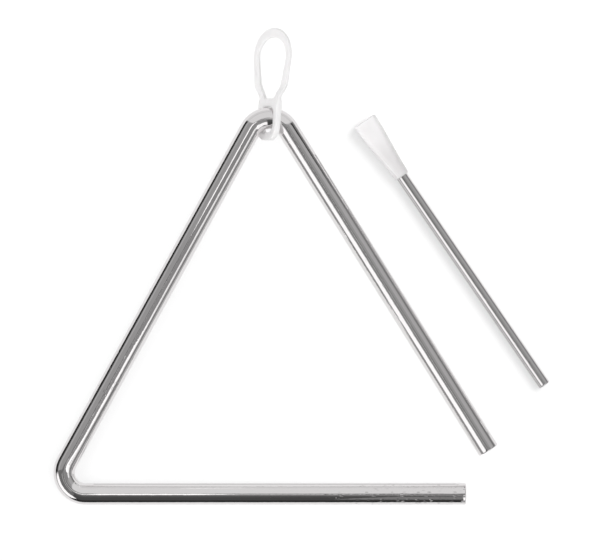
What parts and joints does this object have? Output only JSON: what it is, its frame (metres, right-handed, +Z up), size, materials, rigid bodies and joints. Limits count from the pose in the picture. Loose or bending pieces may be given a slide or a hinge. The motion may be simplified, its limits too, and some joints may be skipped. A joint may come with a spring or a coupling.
{
  "type": "triangle instrument",
  "caption": "Chromed steel triangle bent from one round bar and open at a corner, with a moulded plastic finger loop on its top bend and a separate steel beater with a flared plastic grip.",
  "frame": {"origin": "middle of the whole set as it lies, on the table", "axes": "+Z up from the table, +X along the base bar towards its free end, +Y from the base bar towards the hanger"},
  "size_m": [0.1854, 0.178, 0.0161],
  "materials": {
    "triangle_chrome": "bright chrome plating over drawn steel bar, with fine pits and light wear",
    "hanger_plastic": "soft translucent white moulded plastic, satin, rounded edges",
    "beater_chrome": "bright plating on a plain steel rod, lightly scuffed at the tip",
    "grip_plastic": "translucent white moulded plastic, smooth, with a faint parting line"
  },
  "bodies": {
    "triangle": {"triangle_rod": "triangle_chrome"},
    "hanger": {"hanger_loop": "hanger_plastic"},
    "beater": {"beater_rod": "beater_chrome", "beater_grip": "grip_plastic"}
  },
  "joints": [
    {"name": "hanger_swing", "type": "hinge", "parent": "triangle", "child": "hanger", "pos_m": [-0.01205, 0.05535, 0.00822], "axis": [0.9542, -0.2115, -0.2115], "range_deg": [0, 120]},
    {"name": "beater_lift", "type": "slide", "parent": "triangle", "child": "beater", "axis": [0, 0, 1], "range_m": [0, 0.1]}
  ]
}
